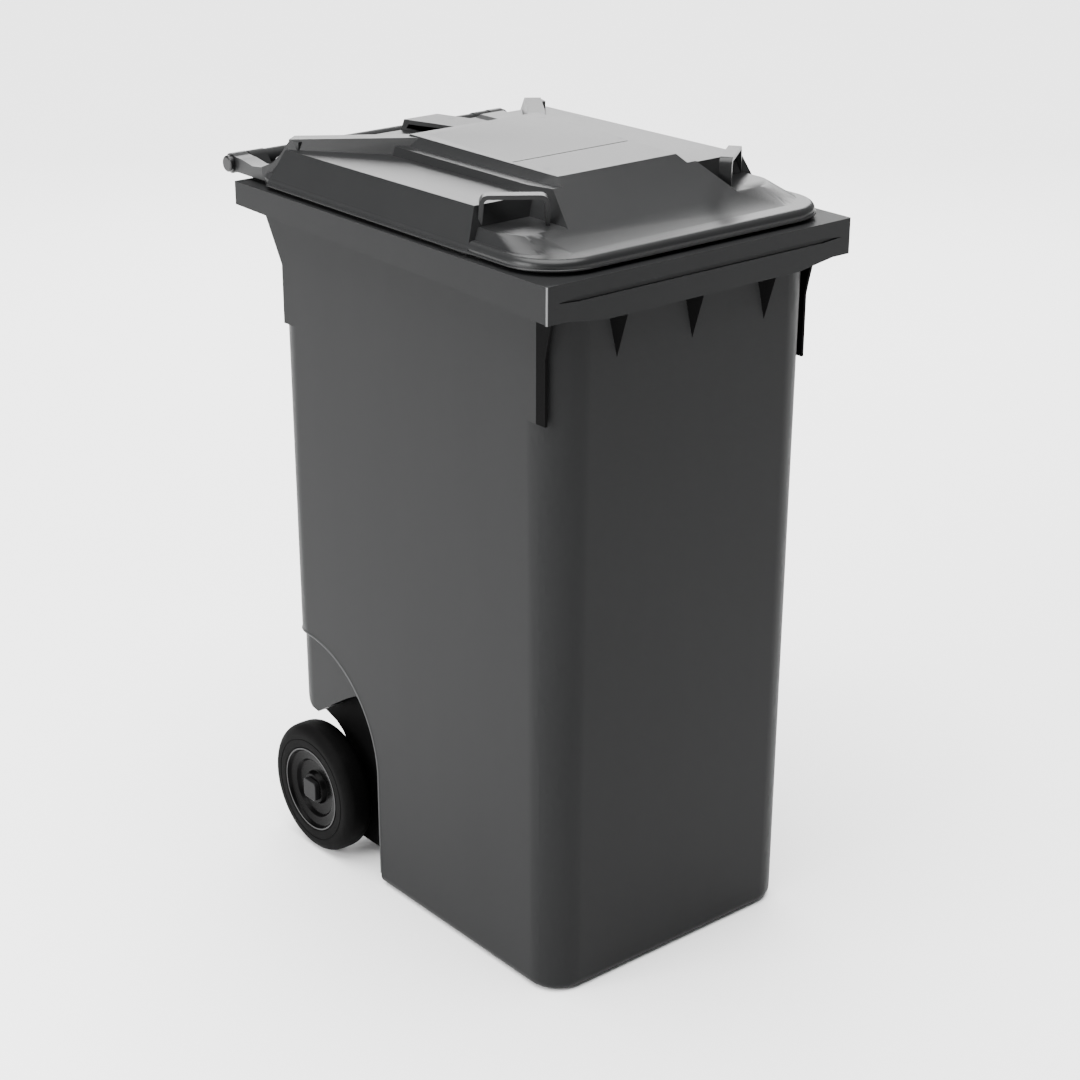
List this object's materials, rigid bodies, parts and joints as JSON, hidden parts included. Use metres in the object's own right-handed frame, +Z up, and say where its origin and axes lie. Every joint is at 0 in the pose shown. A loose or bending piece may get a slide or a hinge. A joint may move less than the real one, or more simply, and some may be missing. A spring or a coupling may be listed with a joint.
{
  "type": "two-wheeled refuse bin",
  "caption": "Tall tapered two-wheeled refuse bin with a comb rim, a hinged raised lid with corner loop handles, and a rear axle with rubber-tyred wheels.",
  "frame": {"origin": "on the floor, under the middle of the bin's overall plan", "axes": "+Z up; -Y is the front with the comb rim; the axle and the lid hinge run along X at the +Y side"},
  "size_m": [0.514, 0.72, 1.0923],
  "materials": {
    "body_plastic": "satin moulded polyethylene with a fine grain, anthracite grey",
    "lid_plastic": "satin moulded polyethylene, anthracite grey",
    "pin_plastic": "satin moulded plastic, black",
    "tyre_rubber": "solid black rubber",
    "wheel_plastic": "smooth moulded plastic, black",
    "cap_plastic": "smooth moulded plastic, black",
    "bush_nylon": "natural nylon",
    "axle_steel": "zinc-plated steel"
  },
  "bodies": {
    "tub": {"bin_body": "body_plastic", "hinge_pin_left": "pin_plastic", "hinge_pin_right": "pin_plastic", "wheel_axle": "axle_steel", "transponder_cap": "pin_plastic", "left_axle_spacer": "bush_nylon", "left_retaining_ring": "axle_steel", "right_axle_spacer": "bush_nylon", "right_retaining_ring": "axle_steel"},
    "lid": {"bin_lid": "lid_plastic"},
    "left_wheel": {"left_tyre": "tyre_rubber", "left_wheel_rim": "wheel_plastic", "left_inner_bush": "bush_nylon", "left_outer_bush": "bush_nylon", "left_hub_cap": "cap_plastic"},
    "right_wheel": {"right_tyre": "tyre_rubber", "right_wheel_rim": "wheel_plastic", "right_inner_bush": "bush_nylon", "right_outer_bush": "bush_nylon", "right_hub_cap": "cap_plastic"}
  },
  "joints": [
    {"name": "lid_hinge", "type": "hinge", "parent": "tub", "child": "lid", "pos_m": [0, 0.346, 1.028], "axis": [-1, 0, 0], "range_deg": [0, 265]},
    {"name": "left_wheel_spin", "type": "hinge", "parent": "tub", "child": "left_wheel", "pos_m": [-0.214, 0.212, 0.1], "axis": [-1, 0, 0], "continuous": true},
    {"name": "right_wheel_spin", "type": "hinge", "parent": "tub", "child": "right_wheel", "pos_m": [0.214, 0.212, 0.1], "axis": [-1, 0, 0], "continuous": true}
  ]
}
